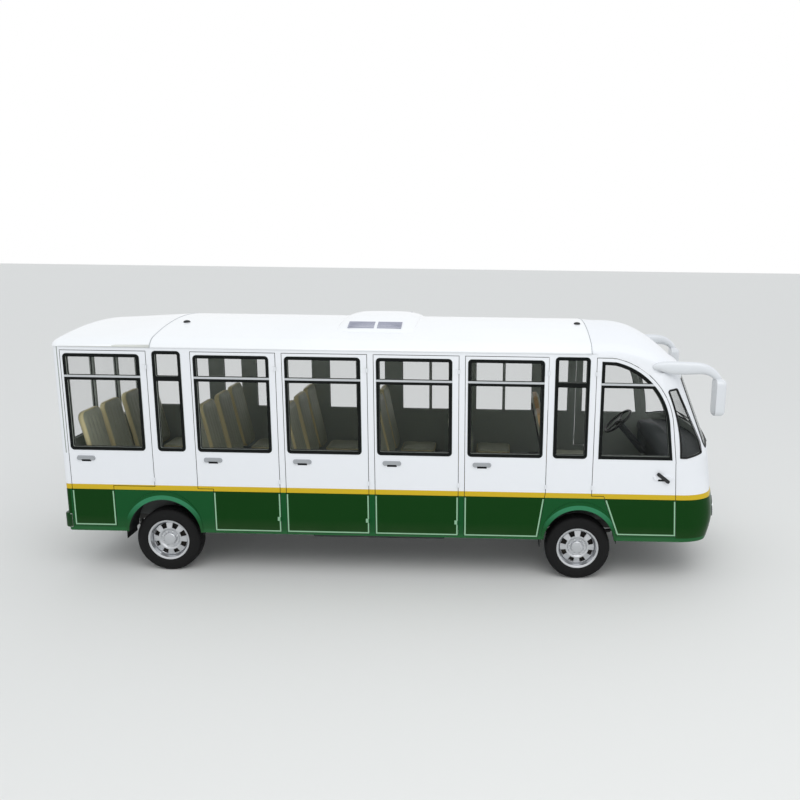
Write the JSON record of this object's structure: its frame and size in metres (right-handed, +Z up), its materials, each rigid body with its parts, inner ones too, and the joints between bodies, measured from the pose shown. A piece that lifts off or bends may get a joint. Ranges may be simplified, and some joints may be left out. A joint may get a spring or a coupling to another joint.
{
  "type": "electric sightseeing bus",
  "caption": "Enclosed low-speed electric sightseeing bus: flat white box body with a row of hinged side doors, a double-curved nose, rows of seats and steered front wheels.",
  "frame": {"origin": "on the ground under the middle of the whole vehicle's bounding box", "axes": "+X forward, +Y to the vehicle's left, +Z up"},
  "size_m": [6.5091, 2.21, 2.562],
  "materials": {
    "body_white": "gloss",
    "roof_white": "gloss",
    "floor_grey": "matt",
    "screen_glass": "gloss",
    "tinted_glass": "gloss",
    "lamp_clear": "gloss",
    "lamp_red": "gloss",
    "trim_black": "satin",
    "bumper_grey": "satin",
    "mirror_shell": "gloss",
    "mirror_silver": "gloss",
    "dash_grey": "matt",
    "grip_black": "satin",
    "frame_black": "satin",
    "seat_cover": "satin",
    "axle_iron": "matt",
    "spring_steel": "satin",
    "battery_grey": "satin",
    "wheel_silver": "satin",
    "tyre_rubber": "matt"
  },
  "bodies": {
    "body": {"floor": "floor_grey", "side_wall_right": "body_white", "side_wall_left": "body_white", "rear_wall": "body_white", "front_panel": "body_white", "roof_panel": "roof_white", "roof_rear_cap": "roof_white", "roof_pod": "roof_white", "windscreen": "screen_glass", "fixed_glass": "tinted_glass", "headlamps": "lamp_clear", "grille": "trim_black", "tail_lamps": "lamp_red", "rear_bumper": "bumper_grey", "mirrors": "mirror_shell", "mirror_glass": "mirror_silver", "wipers": "trim_black", "dashboard": "dash_grey", "seat_frames": "frame_black", "seat_cushions": "seat_cover", "seat_backs": "seat_cover", "chassis_frame": "frame_black", "front_axle": "frame_black", "rear_axle": "axle_iron", "springs": "spring_steel", "battery_box": "battery_grey", "wheel_boxes": "floor_grey", "outriggers": "frame_black"},
    "door_right_1": {"door_right_1": "body_white", "glass_right_1": "tinted_glass"},
    "door_right_2": {"door_right_2": "body_white", "glass_right_2": "tinted_glass"},
    "door_right_3": {"door_right_3": "body_white", "glass_right_3": "tinted_glass"},
    "door_right_4": {"door_right_4": "body_white", "glass_right_4": "tinted_glass"},
    "door_right_5": {"door_right_5": "body_white", "glass_right_5": "tinted_glass"},
    "door_right_front": {"door_right_front": "body_white", "glass_right_front": "tinted_glass"},
    "door_left_front": {"door_left_front": "body_white", "glass_left_front": "tinted_glass"},
    "knuckle_left": {"knuckle_left": "axle_iron"},
    "knuckle_right": {"knuckle_right": "axle_iron"},
    "steering_wheel": {"steering_wheel": "grip_black"},
    "wheel_front_right": {"wheel_front_right": "wheel_silver", "tyre_front_right": "tyre_rubber"},
    "wheel_front_left": {"wheel_front_left": "wheel_silver", "tyre_front_left": "tyre_rubber"},
    "wheel_rear_right": {"wheel_rear_right": "wheel_silver", "tyre_rear_right": "tyre_rubber"},
    "wheel_rear_left": {"wheel_rear_left": "wheel_silver", "tyre_rear_left": "tyre_rubber"}
  },
  "joints": [
    {"name": "door_right_1_hinge", "type": "hinge", "parent": "body", "child": "door_right_1", "pos_m": [-2.3145, -0.988, 1.5], "axis": [0, 0, 1], "range_deg": [0, 75]},
    {"name": "door_right_2_hinge", "type": "hinge", "parent": "body", "child": "door_right_2", "pos_m": [-1.0715, -0.988, 1.5], "axis": [0, 0, 1], "range_deg": [0, 75]},
    {"name": "door_right_3_hinge", "type": "hinge", "parent": "body", "child": "door_right_3", "pos_m": [-0.1945, -0.988, 1.5], "axis": [0, 0, 1], "range_deg": [0, 75]},
    {"name": "door_right_4_hinge", "type": "hinge", "parent": "body", "child": "door_right_4", "pos_m": [0.6825, -0.988, 1.5], "axis": [0, 0, 1], "range_deg": [0, 75]},
    {"name": "door_right_5_hinge", "type": "hinge", "parent": "body", "child": "door_right_5", "pos_m": [1.5345, -0.988, 1.5], "axis": [0, 0, 1], "range_deg": [0, 75]},
    {"name": "door_right_front_hinge", "type": "hinge", "parent": "body", "child": "door_right_front", "pos_m": [1.9855, -0.988, 1.5], "axis": [0, 0, 1], "range_deg": [-75, 0]},
    {"name": "door_left_front_hinge", "type": "hinge", "parent": "body", "child": "door_left_front", "pos_m": [1.9855, 0.988, 1.5], "axis": [0, 0, 1], "range_deg": [0, 75]},
    {"name": "knuckle_left_steer", "type": "hinge", "parent": "body", "child": "knuckle_left", "pos_m": [1.8755, 0.7, 0.325], "axis": [0, 0, 1], "range_deg": [-30, 30]},
    {"name": "knuckle_right_steer", "type": "hinge", "parent": "body", "child": "knuckle_right", "pos_m": [1.8755, -0.7, 0.325], "axis": [0, 0, 1], "range_deg": [-30, 30]},
    {"name": "steering_wheel_turn", "type": "hinge", "parent": "body", "child": "steering_wheel", "pos_m": [2.4235, 0.43, 1.322], "axis": [-0.6561, 0, 0.7547], "range_deg": [-490, 490]},
    {"name": "wheel_front_right_spin", "type": "hinge", "parent": "knuckle_right", "child": "wheel_front_right", "pos_m": [1.8755, -0.8275, 0.325], "axis": [0, 1, 0], "continuous": true},
    {"name": "wheel_front_left_spin", "type": "hinge", "parent": "knuckle_left", "child": "wheel_front_left", "pos_m": [1.8755, 0.8275, 0.325], "axis": [0, 1, 0], "continuous": true},
    {"name": "wheel_rear_right_spin", "type": "hinge", "parent": "body", "child": "wheel_rear_right", "pos_m": [-2.2445, -0.8275, 0.325], "axis": [0, 1, 0], "continuous": true},
    {"name": "wheel_rear_left_spin", "type": "hinge", "parent": "body", "child": "wheel_rear_left", "pos_m": [-2.2445, 0.8275, 0.325], "axis": [0, 1, 0], "continuous": true}
  ],
  "couplings": [
    {"joint": "knuckle_right_steer", "follows": "knuckle_left_steer", "ratio": 1},
    {"joint": "steering_wheel_turn", "follows": "knuckle_left_steer", "ratio": 16}
  ]
}
